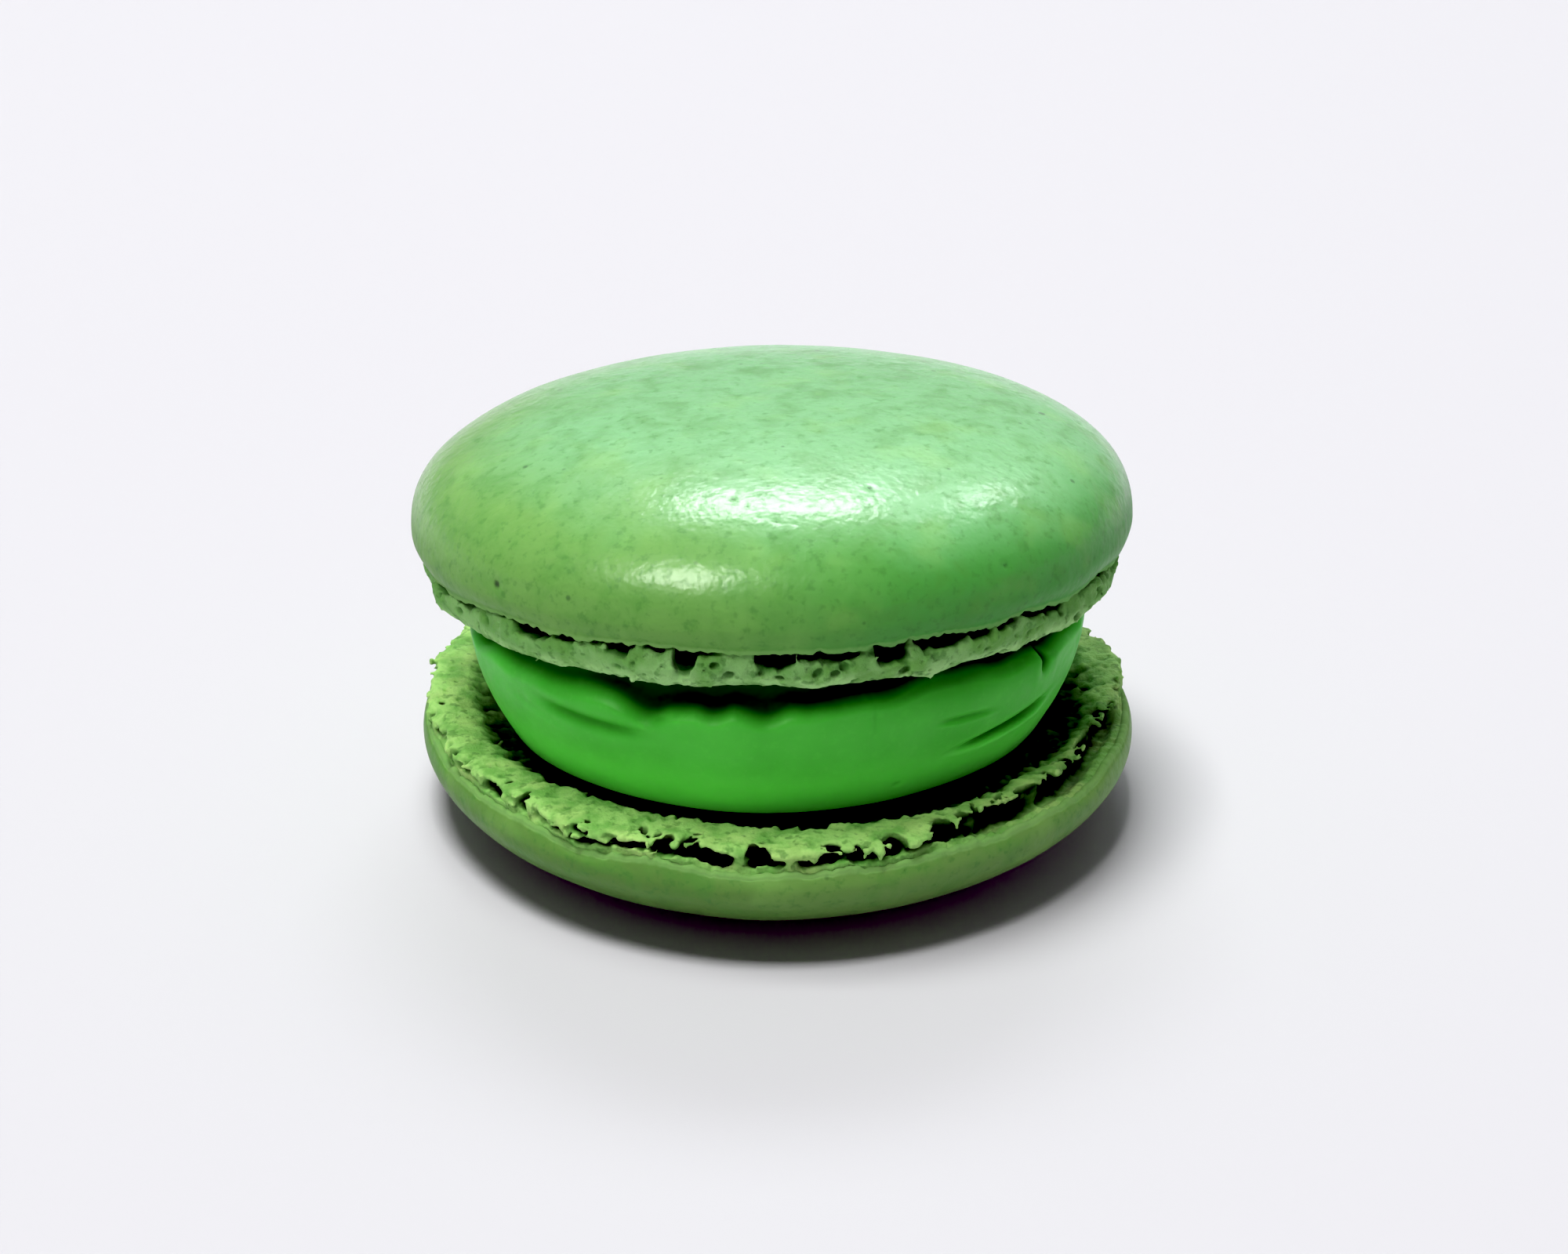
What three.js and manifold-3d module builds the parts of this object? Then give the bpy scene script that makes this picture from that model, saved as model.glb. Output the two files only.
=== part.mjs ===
// A French macaron: two domed almond shells, each with a ruffled foot, held apart by a thick disc of buttercream.
// The lower shell lies dome down and level. The filling is thicker at the front, so the upper shell leans back.
// Millimetres, +Z up, -Y is the front. The origin is the centre of the flat spot that the macaron rests on.
import * as THREE from "three";
import { mergeVertices } from "three/addons/utils/BufferGeometryUtils.js";
import Module from "manifold-3d";

const wasm = await Module();
wasm.setup();

// Driving dimensions. A shell is described as it was baked: its flat face down at height 0, its dome up.
const UPPER = {
  seed: 11,
  equatorRadius: 22.35,
  equatorHeight: 4.3,
  domeHeight: 7.9, // above the equator
  domeFullness: 2.42, // the dome's superellipse exponent: 2 is an ellipse, and more is boxier
  flattening: 40, // the height above the equator at which the dome is pressed flat, where that is under domeHeight
  flatSpot: 0,
  lipRadius: 21.75,
  lipHeight: 2.6, // the skin's torn lower edge
  footTop: 21.45,
  footMiddle: 21.45,
  footBottom: 20.55,
  crevice: 0.45, // usual gap between the lip and the foot
  creviceDepth: 1.5,
  ruffle: 0.17,
};
const LOWER = {
  seed: 29,
  equatorRadius: 22.65,
  equatorHeight: 2.6,
  domeHeight: 7.7,
  domeFullness: 1.85,
  flattening: 5.05,
  flatSpot: 9,
  lipRadius: 22.35,
  lipHeight: 1.4,
  footTop: 22.15,
  footMiddle: 22.35,
  footBottom: 22.05,
  crevice: 0.45,
  creviceDepth: 1.7,
  ruffle: 0.14,
};
const FILLING = {
  seed: 47,
  radius: 19.6, // at its widest
  footRadius: 17.5, // on the lower shell
  topRadius: 18, // under the upper shell
  bellyHeight: 0.93, // of the widest ring, as a share of the filling's height
  bellyPower: 2.2, // how fast the side fills out above its foot: 1 is a straight cone
  clearance: 0.3, // to each shell
};
const SLIP = -0.2; // how far the filling and the upper shell sit off the lower shell's middle, along X
const UPPER_FACE_HEIGHT = 15.1; // middle of the upper shell's flat face above the table
const LEAN_BACK = 6.1; // degrees by which the upper shell's front is raised
const LEAN_LEFT = 1.05; // degrees by which its right side is raised

// Where the crevice between lip and foot gapes, as turns in degrees from +X towards +Y, with its extra gap.
const UPPER_GAPES = [
  { turn: -129, spread: 8, gap: 0.25 },
  { turn: -90, spread: 6, gap: 0.4 },
  { turn: -65, spread: 9, gap: 0.45 },
  { turn: -38, spread: 8, gap: 0.25 },
];
const LOWER_GAPES = [
  { turn: -35, spread: 24, gap: 0.6 },
  { turn: -102, spread: 9, gap: 0.2 },
];
// Large bubbles that burst: turn in degrees, half of the hole's width, and its height as a share of the lip's.
const UPPER_BUBBLES = [
  [-132, 1.1, 0.85],
  [-115, 0.9, 0.8],
  [-104, 0.9, 0.75],
  [-89, 1.5, 0.8],
  [-71, 1.2, 0.75],
  [-62, 1.2, 0.85],
  [-50, 0.8, 0.05],
  [-44, 0.9, 0.8],
];
const LOWER_BUBBLES = [
  [-142, 0.8, 0.55],
  [-134, 0.6, 0.6],
  [-122, 0.7, 0.6],
  [-101, 1.1, 0.75],
  [-92.5, 0.95, 0.45],
  [-82, 1.1, 0.65],
  [-71.5, 1, 0.4],
  [-61, 1.2, 0.6],
];

const SEGMENTS = 92;
const DOME_RINGS = 9;
const SCATTERED_BUBBLES = 18;
const TURN = 2 * Math.PI;
const radians = THREE.MathUtils.degToRad;
const { lerp } = THREE.MathUtils;

// A seeded generator of numbers from 0 to 1 (mulberry32), so that every build is the same macaron.
function generator(seed) {
  let state = seed;
  return () => {
    state = (state + 0x6d2b79f5) | 0;
    let t = Math.imul(state ^ (state >>> 15), 1 | state);
    t = (t + Math.imul(t ^ (t >>> 7), 61 | t)) ^ t;
    return ((t ^ (t >>> 14)) >>> 0) / 4294967296;
  };
}

// A periodic unevenness of the turn about the axis, of about 1 either way: waves of low to high counts a turn,
// with seeded phases that drift with height.
function unevenness(seed, low, high) {
  const random = generator(seed);
  const waves = [];
  for (let count = low; count <= high; count += 1) {
    waves.push({ count, phase: TURN * random(), drift: 3 * (random() - 0.5) });
  }
  const size = Math.sqrt(2 / waves.length);
  return (turn, height = 0) =>
    size * waves.reduce((sum, w) => sum + Math.sin(w.count * turn + w.phase + w.drift * height), 0);
}

// The shorter way round between two turns.
const turnBetween = (a, b) => Math.atan2(Math.sin(a - b), Math.cos(a - b));

// The gap between lip and foot at each turn.
function creviceAt(shell, gapes) {
  const ragged = unevenness(shell.seed + 5, 5, 23);
  return (turn) => {
    const gaping = gapes.reduce((sum, g) => {
      const off = turnBetween(turn, radians(g.turn)) / radians(g.spread);
      return sum + g.gap * Math.exp(-off * off);
    }, 0);
    return THREE.MathUtils.clamp(shell.crevice + gaping + 0.14 * ragged(turn), 0.2, shell.lipHeight - 0.5);
  };
}

// Height of the dome above its equator at a radius: a superellipse pressed flat.
function domeHeightAt(shell, radius) {
  const rise =
    shell.domeHeight *
    (1 - Math.min(1, radius / shell.equatorRadius) ** shell.domeFullness) ** (1 / shell.domeFullness);
  const press = 8;
  return rise === 0 ? 0 : (rise ** -press + shell.flattening ** -press) ** (-1 / press);
}

// A shell's section from the middle of its flat face, round the foot, crevice and lip, to the middle of its dome.
// Each ring has the share that it takes of each kind of unevenness: ruffle moves it out, sink lowers it to open
// the crevice, wave lifts it with the lip, hem raises the foot's lower edge and pit roughens the face.
function shellRings(shell) {
  const s = shell;
  const inner = s.footTop - s.creviceDepth;
  const foot = (r, share, more) => ({ r, z: share * s.lipHeight, sink: share, ...more });
  const rings = [
    { r: 0, z: 0 },
    { r: 18.4, z: 0 },
    { r: inner - 0.25, z: 0.04, pit: 1 },
    foot(s.footBottom - 0.25, 0.02, { ruffle: 0.5, hem: 0.7 }),
    foot(s.footBottom, 0.16, { ruffle: 1, hem: 1 }),
    foot(s.footMiddle, 0.5, { ruffle: 1.2 }),
    foot(s.footTop, 0.88, { ruffle: 1 }),
    foot(s.footTop - 0.35, 0.99, { ruffle: 0.8 }),
    foot(inner, 0.99, { ruffle: 0.5 }),
    { r: inner, z: s.lipHeight + 0.1, ruffle: 0.5, wave: 1 },
    { r: s.lipRadius - 0.45, z: s.lipHeight, wave: 1, ruffle: 0.1 },
    { r: s.lipRadius, z: s.lipHeight + 0.22, wave: 1 },
    { r: (s.lipRadius + 3 * s.equatorRadius) / 4, z: lerp(s.lipHeight, s.equatorHeight, 0.6), wave: 0.3 },
    { r: s.equatorRadius, z: s.equatorHeight },
  ];
  for (let i = 1; i < DOME_RINGS; i += 1) {
    const share = Math.cos((i / DOME_RINGS) * (Math.PI / 2)) ** 0.8;
    const r = lerp(s.flatSpot, s.equatorRadius, share);
    rings.push({ r, z: s.equatorHeight + domeHeightAt(s, r) });
  }
  const top = s.equatorHeight + domeHeightAt(s, s.flatSpot);
  if (s.flatSpot > 0) rings.push({ r: s.flatSpot, z: top });
  rings.push({ r: 0, z: top });
  return rings;
}

// A closed surface of revolution about Z through the rings, with every vertex then moved by shift(turn, ring, point).
function revolve(rings, shift) {
  const profile = rings.map((ring) => new THREE.Vector2(ring.r, ring.z));
  const geometry = new THREE.LatheGeometry(profile, SEGMENTS);
  geometry.rotateX(Math.PI / 2);
  const position = geometry.getAttribute("position");
  const point = new THREE.Vector3();
  for (let i = 0; i < position.count; i += 1) {
    const ring = rings[i % rings.length];
    point.fromBufferAttribute(position, i);
    shift(Math.atan2(point.y, point.x), ring, point);
    position.setXYZ(i, point.x, point.y, point.z);
  }
  return geometry;
}

// Moves a point out from the Z axis by a distance. A point on the axis stays there.
function moveOut(point, distance) {
  const radius = Math.hypot(point.x, point.y);
  const factor = radius > 0 ? 1 + distance / radius : 1;
  point.x *= factor;
  point.y *= factor;
}

function toSolid(geometry) {
  const bare = new THREE.BufferGeometry();
  bare.setAttribute("position", geometry.getAttribute("position"));
  if (geometry.index) bare.setIndex(geometry.index);
  const merged = mergeVertices(bare, 1e-3);
  const triVerts = new Uint32Array(merged.index.array);
  return new wasm.Manifold(
    new wasm.Mesh({ numProp: 3, vertProperties: merged.getAttribute("position").array, triVerts }),
  );
}

function toGeometry(solid) {
  const { vertProperties, triVerts } = solid.getMesh();
  const geometry = new THREE.BufferGeometry();
  geometry.setAttribute("position", new THREE.BufferAttribute(vertProperties, 3));
  geometry.setIndex(new THREE.BufferAttribute(triVerts, 1));
  geometry.computeVertexNormals();
  return geometry;
}

// The burst bubbles of a foot: the large ones as listed, and small ones scattered by the seed round the rest.
function bubbleHoles(shell, listed) {
  const random = generator(shell.seed + 9);
  const bubbles = listed.map(([degrees, half, level]) => ({ turn: radians(degrees), half, level }));
  for (let i = 0; i < SCATTERED_BUBBLES; i += 1) {
    const turn = (TURN * (i + 0.7 * random())) / SCATTERED_BUBBLES;
    const half = 0.4 + 0.5 * random() ** 2;
    const level = 0.45 + 0.4 * random();
    const nearest = Math.min(...listed.map(([degrees]) => Math.abs(turnBetween(turn, radians(degrees)))));
    if (nearest > 0.12) bubbles.push({ turn, half, level });
  }
  return bubbles.map(({ turn, half, level }) => {
    const hole = new THREE.IcosahedronGeometry(1, 1);
    hole.scale(1.3 * half, half, Math.min(0.62 * half, 0.3 * shell.lipHeight));
    hole.translate(lerp(shell.footBottom, shell.footTop, level) - 0.2, 0, level * shell.lipHeight - 0.1);
    hole.rotateZ(turn);
    return toSolid(hole);
  });
}

function shellGeometry(shell, gapes, bubbles) {
  const round = unevenness(shell.seed + 1, 2, 4);
  const ruffle = unevenness(shell.seed + 2, 7, 24);
  const hem = unevenness(shell.seed + 3, 6, 22);
  const wave = unevenness(shell.seed + 4, 6, 20);
  const pit = unevenness(shell.seed + 6, 11, 30);
  const crevice = creviceAt(shell, gapes);
  const cast = revolve(shellRings(shell), (turn, ring, point) => {
    moveOut(point, 0.1 * round(turn) + shell.ruffle * (ring.ruffle ?? 0) * ruffle(turn, ring.z));
    point.z -= (ring.sink ?? 0) * crevice(turn);
    point.z += 0.09 * (ring.wave ?? 0) * wave(turn);
    point.z += 0.04 * shell.lipHeight * (ring.hem ?? 0) * Math.abs(hem(turn));
    point.z += 0.1 * (ring.pit ?? 0) * Math.abs(pit(turn, ring.r));
  });
  const holes = bubbleHoles(shell, bubbles);
  const bored = toSolid(cast).subtract(wasm.Manifold.union(holes));
  const [largest] = bored.decompose().sort((a, b) => b.volume() - a.volume());
  return toGeometry(largest);
}

// The filling's section, as radius and height in the space between the shells: a bowl that draws in at its top.
function fillingRings(f, height) {
  const side = [0, 0.05, 0.11, 0.19, 0.3, 0.44, 0.6, 0.74].map((share) => {
    const below = 1 - share / f.bellyHeight;
    return { r: lerp(f.radius, f.footRadius, below ** f.bellyPower), z: share * height };
  });
  return [
    { r: 0, z: 0 },
    ...side,
    { r: lerp(f.radius, f.topRadius, 0.3), z: 0.86 * height },
    { r: f.topRadius, z: 0.96 * height },
    { r: f.topRadius - 0.5, z: height },
    { r: 0, z: height },
  ];
}

// Smears that the palette knife and the bag's nozzle left round the filling: turn and spread in degrees, height
// as a share of the filling's, how far it climbs over the spread, and how far the surface steps out below the
// line or, where negative, above it.
const SMEARS = [
  { turn: -43, spread: 16, height: 0.33, climb: 0.05, step: 0.32 },
  { turn: -125, spread: 13, height: 0.66, climb: -0.02, step: -0.22 },
  { turn: 60, spread: 30, height: 0.5, climb: 0.2, step: 0.25 },
  { turn: 150, spread: 26, height: 0.4, climb: -0.2, step: 0.25 },
];

// A smear is a shallow step along a slanting line, which fades away from it.
function smearAt(turn, share) {
  return SMEARS.reduce((sum, smear) => {
    const along = turnBetween(turn, radians(smear.turn)) / radians(smear.spread);
    const off = Math.sign(smear.step) * (smear.height + smear.climb * along - share);
    const edge = 1 / (1 + Math.exp(-off / 0.03));
    return sum + Math.abs(smear.step) * Math.exp(-(along ** 4) - 9 * Math.max(0, off)) * edge;
  }, 0);
}

function fillingGeometry(f, height, topAt) {
  const round = unevenness(f.seed + 1, 2, 6);
  const lump = unevenness(f.seed + 2, 3, 12);
  return revolve(fillingRings(f, height), (turn, ring, point) => {
    const share = ring.z / height;
    const side = ring.r >= f.footRadius && ring.z < height ? 1 : 0;
    moveOut(point, side * (0.12 * round(turn) + 0.06 * lump(turn, 2 * share) + smearAt(turn, share)));
    point.z = f.clearance + share * (topAt(point.x, point.y) - 2 * f.clearance);
  });
}

const SHELL_COLOUR = new THREE.Color(0.36, 0.62, 0.29);
const FILLING_COLOUR = new THREE.Color(0.12, 0.45, 0.08);

function mesh(name, geometry, colour, roughness) {
  const made = new THREE.Mesh(geometry, new THREE.MeshStandardMaterial({ color: colour, roughness, metalness: 0 }));
  made.name = name;
  return made;
}

// The lower shell is turned over on to its dome, about X, so its turns change sign.
const lowerGapes = LOWER_GAPES.map((gape) => ({ ...gape, turn: -gape.turn }));
const lowerBubbles = LOWER_BUBBLES.map(([degrees, ...rest]) => [-degrees, ...rest]);
const lowerShell = mesh("lower_shell", shellGeometry(LOWER, lowerGapes, lowerBubbles), SHELL_COLOUR, 0.5);
const lowerThickness = LOWER.equatorHeight + domeHeightAt(LOWER, LOWER.flatSpot);
lowerShell.rotation.x = Math.PI;
lowerShell.position.z = lowerThickness;

// The upper shell leans on the filling.
const upperShell = mesh("upper_shell", shellGeometry(UPPER, UPPER_GAPES, UPPER_BUBBLES), SHELL_COLOUR, 0.45);
upperShell.rotation.set(-radians(LEAN_BACK), -radians(LEAN_LEFT), 0);
upperShell.position.set(SLIP, 0, UPPER_FACE_HEIGHT);

// Height of the upper shell's flat face above the lower shell's, at a point.
upperShell.updateMatrix();
const faceNormal = new THREE.Vector3(0, 0, 1).applyEuler(upperShell.rotation);
const fillingHeight = UPPER_FACE_HEIGHT - lowerThickness;
const fillingTopAt = (x, y) => fillingHeight - (faceNormal.x * x + faceNormal.y * y) / faceNormal.z;

const filling = mesh("filling", fillingGeometry(FILLING, fillingHeight, fillingTopAt), FILLING_COLOUR, 0.35);
filling.position.set(SLIP, 0, lowerThickness);

const macaron = new THREE.Group();
macaron.add(lowerShell, filling, upperShell);

export default macaron;
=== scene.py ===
"""A green French macaron: satin skins, crumbly feet with burst bubbles, and a smeared buttercream filling.

Shapes are computed in millimetres, in each shell's own frame: flat face down at height 0 and dome up, as
baked. They are then laid in the row frame, in metres, over the CAD solids, whose sizes they share. A turn
is an angle about the vertical axis, from +X towards +Y. The tables give turns in degrees, as seen from
above the macaron as it lies.
"""
import itertools
import math
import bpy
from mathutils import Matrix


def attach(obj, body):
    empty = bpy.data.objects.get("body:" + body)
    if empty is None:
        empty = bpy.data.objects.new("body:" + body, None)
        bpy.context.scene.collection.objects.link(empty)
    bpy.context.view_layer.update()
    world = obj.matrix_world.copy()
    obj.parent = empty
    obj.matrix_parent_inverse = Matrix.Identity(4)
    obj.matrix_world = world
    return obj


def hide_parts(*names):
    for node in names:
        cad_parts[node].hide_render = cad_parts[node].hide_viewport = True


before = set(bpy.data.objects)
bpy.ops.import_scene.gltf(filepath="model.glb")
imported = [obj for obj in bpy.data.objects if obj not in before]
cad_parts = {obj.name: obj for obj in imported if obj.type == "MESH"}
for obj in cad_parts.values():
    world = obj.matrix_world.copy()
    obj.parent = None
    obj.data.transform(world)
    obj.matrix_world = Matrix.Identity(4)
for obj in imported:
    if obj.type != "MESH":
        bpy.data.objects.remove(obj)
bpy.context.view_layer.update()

from types import SimpleNamespace

import bpy
import numpy as np
from mathutils import Matrix, Vector

MM = 0.001
TURN = 2 * math.pi

# ---------------- sizes

# The shells. fullness and flattening shape the dome, a superellipse pressed flat. The lip is the torn lower
# edge of the skin, and the foot is the crumb below it. crevice_depth: how far the crevice under the lip cuts
# in. crumb_rim: how far the crumb in it stands above the lip. vault: how far its roof rises behind the lip.
# ruffle and rough: waves and crumb of the foot's side. gape and strands: how wide the crevices gape round
# the back, and how many strands cross them.
UPPER = SimpleNamespace(
    seed=11, equator_radius=22.35, equator_height=4.3, dome_height=7.9, fullness=2.42, flattening=40.0,
    flat_spot=0.0, lip_radius=21.75, lip_height=2.6, foot_top=21.45, foot_middle=21.45, foot_bottom=20.55,
    crevice_depth=1.15, crumb_rim=0.04, vault=0.7, ruffle=0.17, rough=0.7, gape=0.7, strands=8,
)
LOWER = SimpleNamespace(
    seed=29, equator_radius=22.65, equator_height=2.6, dome_height=7.7, fullness=1.85, flattening=5.05,
    flat_spot=9.0, lip_radius=22.35, lip_height=1.4, foot_top=22.15, foot_middle=22.35, foot_bottom=22.05,
    crevice_depth=1.9, crumb_rim=-0.4, vault=0.9, ruffle=0.14, rough=0.6, gape=0.35, strands=0,
)
FILLING = SimpleNamespace(
    seed=47, radius=19.6, foot_radius=17.5, top_radius=18.0, belly_height=0.93, belly_power=2.2,
)
SLIP = -0.2  # how far the filling and the upper shell sit off the lower shell's middle, along X
UPPER_FACE = 15.1  # middle of the upper shell's flat face above the table
LEAN_BACK, LEAN_LEFT = math.radians(6.1), math.radians(1.05)  # of the upper shell

PRESS = 8.0  # how sharply a dome turns from its curve to its pressed top
OUT_OF_ROUND = 0.1
LIP_THICKNESS = 0.5
LIP_WAVE, LIP_FRILL, LIP_FRAY = 0.1, 0.06, 0.045
LINING = 1.3  # how far the crumb reaches up behind the skin, from the lip

# The crevice between skin and foot, round the front: turns where a stretch starts and ends, its height, and
# how far the crumb under it is set back.
UPPER_CREVICE = [
    (-153, -146, 0.3, 0), (-145, -137, 0.22, 0), (-136, -128, 0.7, 0), (-128, -122, 0.5, 0),
    (-121, -118, 0.25, 0), (-118, -112.5, 0.5, 0), (-111, -107, 0.4, 0), (-106, -102, 1.1, 0),
    (-102, -96.5, 0.2, 0), (-93, -86.5, 1.0, 0), (-87, -75.5, 0.55, 0), (-74, -68, 1.05, 0),
    (-67.5, -57.5, 0.75, 0), (-58, -53, 0.45, 0), (-52, -47, 0.5, 0), (-47, -33, 0.6, 0),
    (-32, -17, 0.3, 0),
]
LOWER_CREVICE = [
    (-152.5, -147.5, 0.2, 0), (-146, -138.5, 0.4, 0.1), (-136.5, -134, 0.5, 0), (-128, -125, 0.3, 0),
    (-124, -117, 0.4, 0), (-117.5, -110, 0.5, 0.05), (-110.5, -106, 0.5, 0.1),
    (-106.5, -96.5, 0.62, 0.15), (-95, -89, 0.5, 0.1), (-87.5, -84, 0.35, 0.1), (-84.5, -79, 0.5, 0.1),
    (-79.5, -74.5, 0.42, 0.2), (-74, -69.5, 0.55, 0.1), (-69, -65, 0.3, 0.2), (-66, -58.5, 0.5, 0.4),
    (-61, -5, 0.72, 1.15), (-6, 3, 0.4, 0.4),
]
LONG_STRETCH = 20  # degrees: a longer stretch ends bluntly, and the others are rounded like bubbles
BLUNT, ROUNDED = 8, 2.4

# Large burst bubbles: turn, half of the width, height as a share of the lip's, half of the height.
UPPER_BUBBLES = [
    (-132, 1.0, 0.85, 0.3), (-115, 0.6, 0.8, 0.28), (-104, 0.7, 0.7, 0.55), (-89.5, 1.3, 0.78, 0.45),
    (-72.5, 0.5, 0.7, 0.5), (-69.5, 0.5, 0.72, 0.5), (-62, 1.1, 0.85, 0.35), (-50, 0.5, 0.1, 0.45),
]
LOWER_BUBBLES = [
    (-142, 1.1, 0.5, 0.3), (-135, 0.4, 0.45, 0.6), (-122, 0.6, 0.35, 0.25), (-108, 0.6, 0.6, 0.2),
    (-98.5, 0.8, 0.55, 0.25), (-93, 0.8, 0.38, 0.5), (-90, 0.7, 0.66, 0.35), (-85.5, 0.45, 0.8, 0.3),
    (-81.5, 0.95, 0.42, 0.45), (-76.5, 0.8, 0.7, 0.25), (-71.5, 0.8, 0.25, 0.6), (-68, 0.6, 0.65, 0.2),
    (-62.5, 0.8, 0.3, 0.5), (-54, 0.5, 0.3, 0.3),
]
# The moat, where the flat face sinks towards the filling: turn, radius, width of the slope, and depth, by
# which the crumb is also painted dark as shade.
UPPER_MOAT = [(0, 19.0, 1.0, 1.0)]
LOWER_MOAT = [
    (-175, 19.9, 1.8, 0.6), (-150, 19.9, 1.8, 0.75), (-137, 19.5, 1.6, 0.9), (-125, 19.1, 1.4, 1.0),
    (-106, 19.0, 1.2, 0.9), (-91, 19.3, 1.2, 0.9), (-60, 19.7, 1.4, 0.9), (-36, 20.3, 2.0, 0.75),
    (-18, 20.8, 2.4, 0.72), (-9, 20.9, 2.4, 0.68), (10, 20.5, 2.2, 0.6), (90, 19.6, 1.4, 0.6),
]
SIDE_BUBBLES, FACE_PITS, CRUMBS = 420, 1100, 130  # small things all over a foot

# Pits in a skin: x and y on the dome, half of the width, and how dark.
UPPER_PITS = [
    (-16.32, -15.23, 0.3, 1.0), (5.88, -14.85, 0.22, 0.9), (13.71, -17.22, 0.2, 0.8),
    (-2.17, -16.08, 0.2, 0.7), (-1.39, -16.88, 0.18, 0.6), (0.34, -18.25, 0.18, 0.6),
    (-0.66, -17.9, 0.15, 0.5), (1.38, -18.44, 0.15, 0.5),
]
LOWER_PITS = [(0.0, 21.9, 0.25, 0.7)]

# Folds that a spatula left round the filling: turn and spread in degrees, height above the lower shell,
# climb over the spread, how far the cream stands out below the fold or, where negative, above it, and how
# soft the step is.
FOLDS = [
    (-41, 12, 3.15, 0.4, 0.45, 0.12), (-52.5, 6, 5.05, -0.15, 0.2, 0.1),
    (-125, 11, 5.9, -0.1, -0.35, 0.28), (-138, 8, 4.6, -0.3, 0.06, 0.15), (60, 30, 3.6, 1.2, 0.25, 0.08),
    (150, 26, 3.4, -1.0, 0.25, 0.08), (100, 20, 4.4, 0.8, -0.2, 0.08), (10, 14, 4.2, -0.6, 0.25, 0.08),
]
# Dents, and ridges where the depth is negative, which a tip pulled up: turn, height above the lower shell,
# half of the width, half of the height, depth.
DENTS = [
    (-31.9, 6.7, 0.35, 0.75, 0.6), (-11.5, 4.6, 0.35, 0.9, 0.4), (-65.8, 1.35, 0.25, 0.2, 0.15),
    (-72, 6.5, 0.12, 1.8, 0.05), (-112, 6.9, 1.1, 0.8, 0.3), (-35, 6.0, 0.4, 1.2, -0.08),
    (-28.5, 6.0, 0.45, 1.2, -0.07), (-14.5, 5.4, 0.4, 1.3, -0.08),
]
# Where the cream draws in under the upper shell and gets painted shade: turn, spread in degrees, and how
# much lower that starts.
SCALLOPS = [
    (-113, 4, 0.7), (-106.5, 2.5, 0.2), (-101, 3, 0.4), (-97, 1.5, -0.1), (-91, 3.5, 0.5),
    (-84, 2.5, 0.15), (-72, 5, -0.15), (-55, 12, -0.6), (-150, 9, 0.1),
]
SHALLOW_TUCK = (-138, 19)  # turn and spread of a stretch where it draws in less and gets less painted shade
SHADED_SIDE = (-48, 24)  # turn and spread of a stretch whose upper half gets painted shade, a darker green

# How finely the meshes are made.
GRAIN = 0.147  # step of the grid that the feet are carved on
SKIN_SEGMENTS, DOME_RINGS, UNDER_RINGS = ((640, 100, 22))
LIP_RINGS = 9
FILLING_SEGMENTS, FILLING_ROWS = ((720, 120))

# ---------------- unevenness and noise


def generator(seed):
    """Seeded numbers from 0 to 1 (mulberry32), the same ones as the CAD solids draw."""
    mask = 0xFFFFFFFF
    state = seed

    def draw():
        nonlocal state
        state = (state + 0x6D2B79F5) & mask
        t = (state ^ (state >> 15)) * (1 | state) & mask
        t = (t + (t ^ (t >> 7)) * (61 | t) ^ t) & mask
        return (t ^ (t >> 14)) / 4294967296

    return draw


def unevenness(seed, low, high):
    """A periodic unevenness of the turn, about 1 either way, whose phases drift with height."""
    draw = generator(seed)
    waves = [(count, TURN * draw(), 3 * (draw() - 0.5)) for count in range(low, high + 1)]
    size = math.sqrt(2 / len(waves))

    def at(turn, height=0.0):
        return size * sum(np.sin(count * turn + phase + drift * height) for count, phase, drift in waves)

    return at


def turn_between(a, b):
    """The shorter way round between two turns, in radians."""
    return np.arctan2(np.sin(a - b), np.cos(a - b))


SLOPES = np.random.default_rng(5).normal(size=(256, 3)).astype(np.float32)
SLOPES /= np.linalg.norm(SLOPES, axis=1, keepdims=True)
HASH_X, HASH_Y, HASH_Z, HASH_SEED, HASH_MIX = 73856093, 19349663, 83492791, 2654435761, 1274126177
SEED_SHIFT = 13.7
NOISE_GAIN = 1.9
BROAD, TEARS, SPIKES, CRUMB, SWELL, SMEAR = 3, 41, 44, 31, 51, 71  # seeds of the noises


def noise(places, wavelength, seed):
    """Gradient noise at places (..., 3) in mm, about 1 either way."""
    p = places.reshape(-1, 3) / wavelength + SEED_SHIFT * seed
    cell = np.floor(p).astype(np.int64)
    part = (p - cell).astype(np.float32)
    eased = part * part * part * (part * (part * 6 - 15) + 10)
    total = np.zeros(len(p), np.float32)
    for corner in itertools.product((0, 1), repeat=3):
        c = cell + corner
        key = (c[:, 0] * HASH_X) ^ (c[:, 1] * HASH_Y) ^ (c[:, 2] * HASH_Z) ^ (seed * HASH_SEED)
        key = (key ^ (key >> 13)) * HASH_MIX
        slope = SLOPES[(key >> 9) & 255]
        weight = np.ones(len(p), np.float32)
        for axis, side in enumerate(corner):
            weight *= eased[:, axis] if side else 1 - eased[:, axis]
        total += weight * np.einsum("ij,ij->i", slope, part - np.array(corner, np.float32))
    return (total * NOISE_GAIN).reshape(places.shape[:-1])


def fractal(places, wavelength, seed, octaves):
    """Noise of a wavelength, with finer and weaker noise on it."""
    fade = 0.55
    total, size, norm = 0.0, 1.0, 0.0
    for octave in range(octaves):
        total = total + size * noise(places, wavelength / 2**octave, seed + octave)
        norm += size
        size *= fade
    return total / norm


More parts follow.
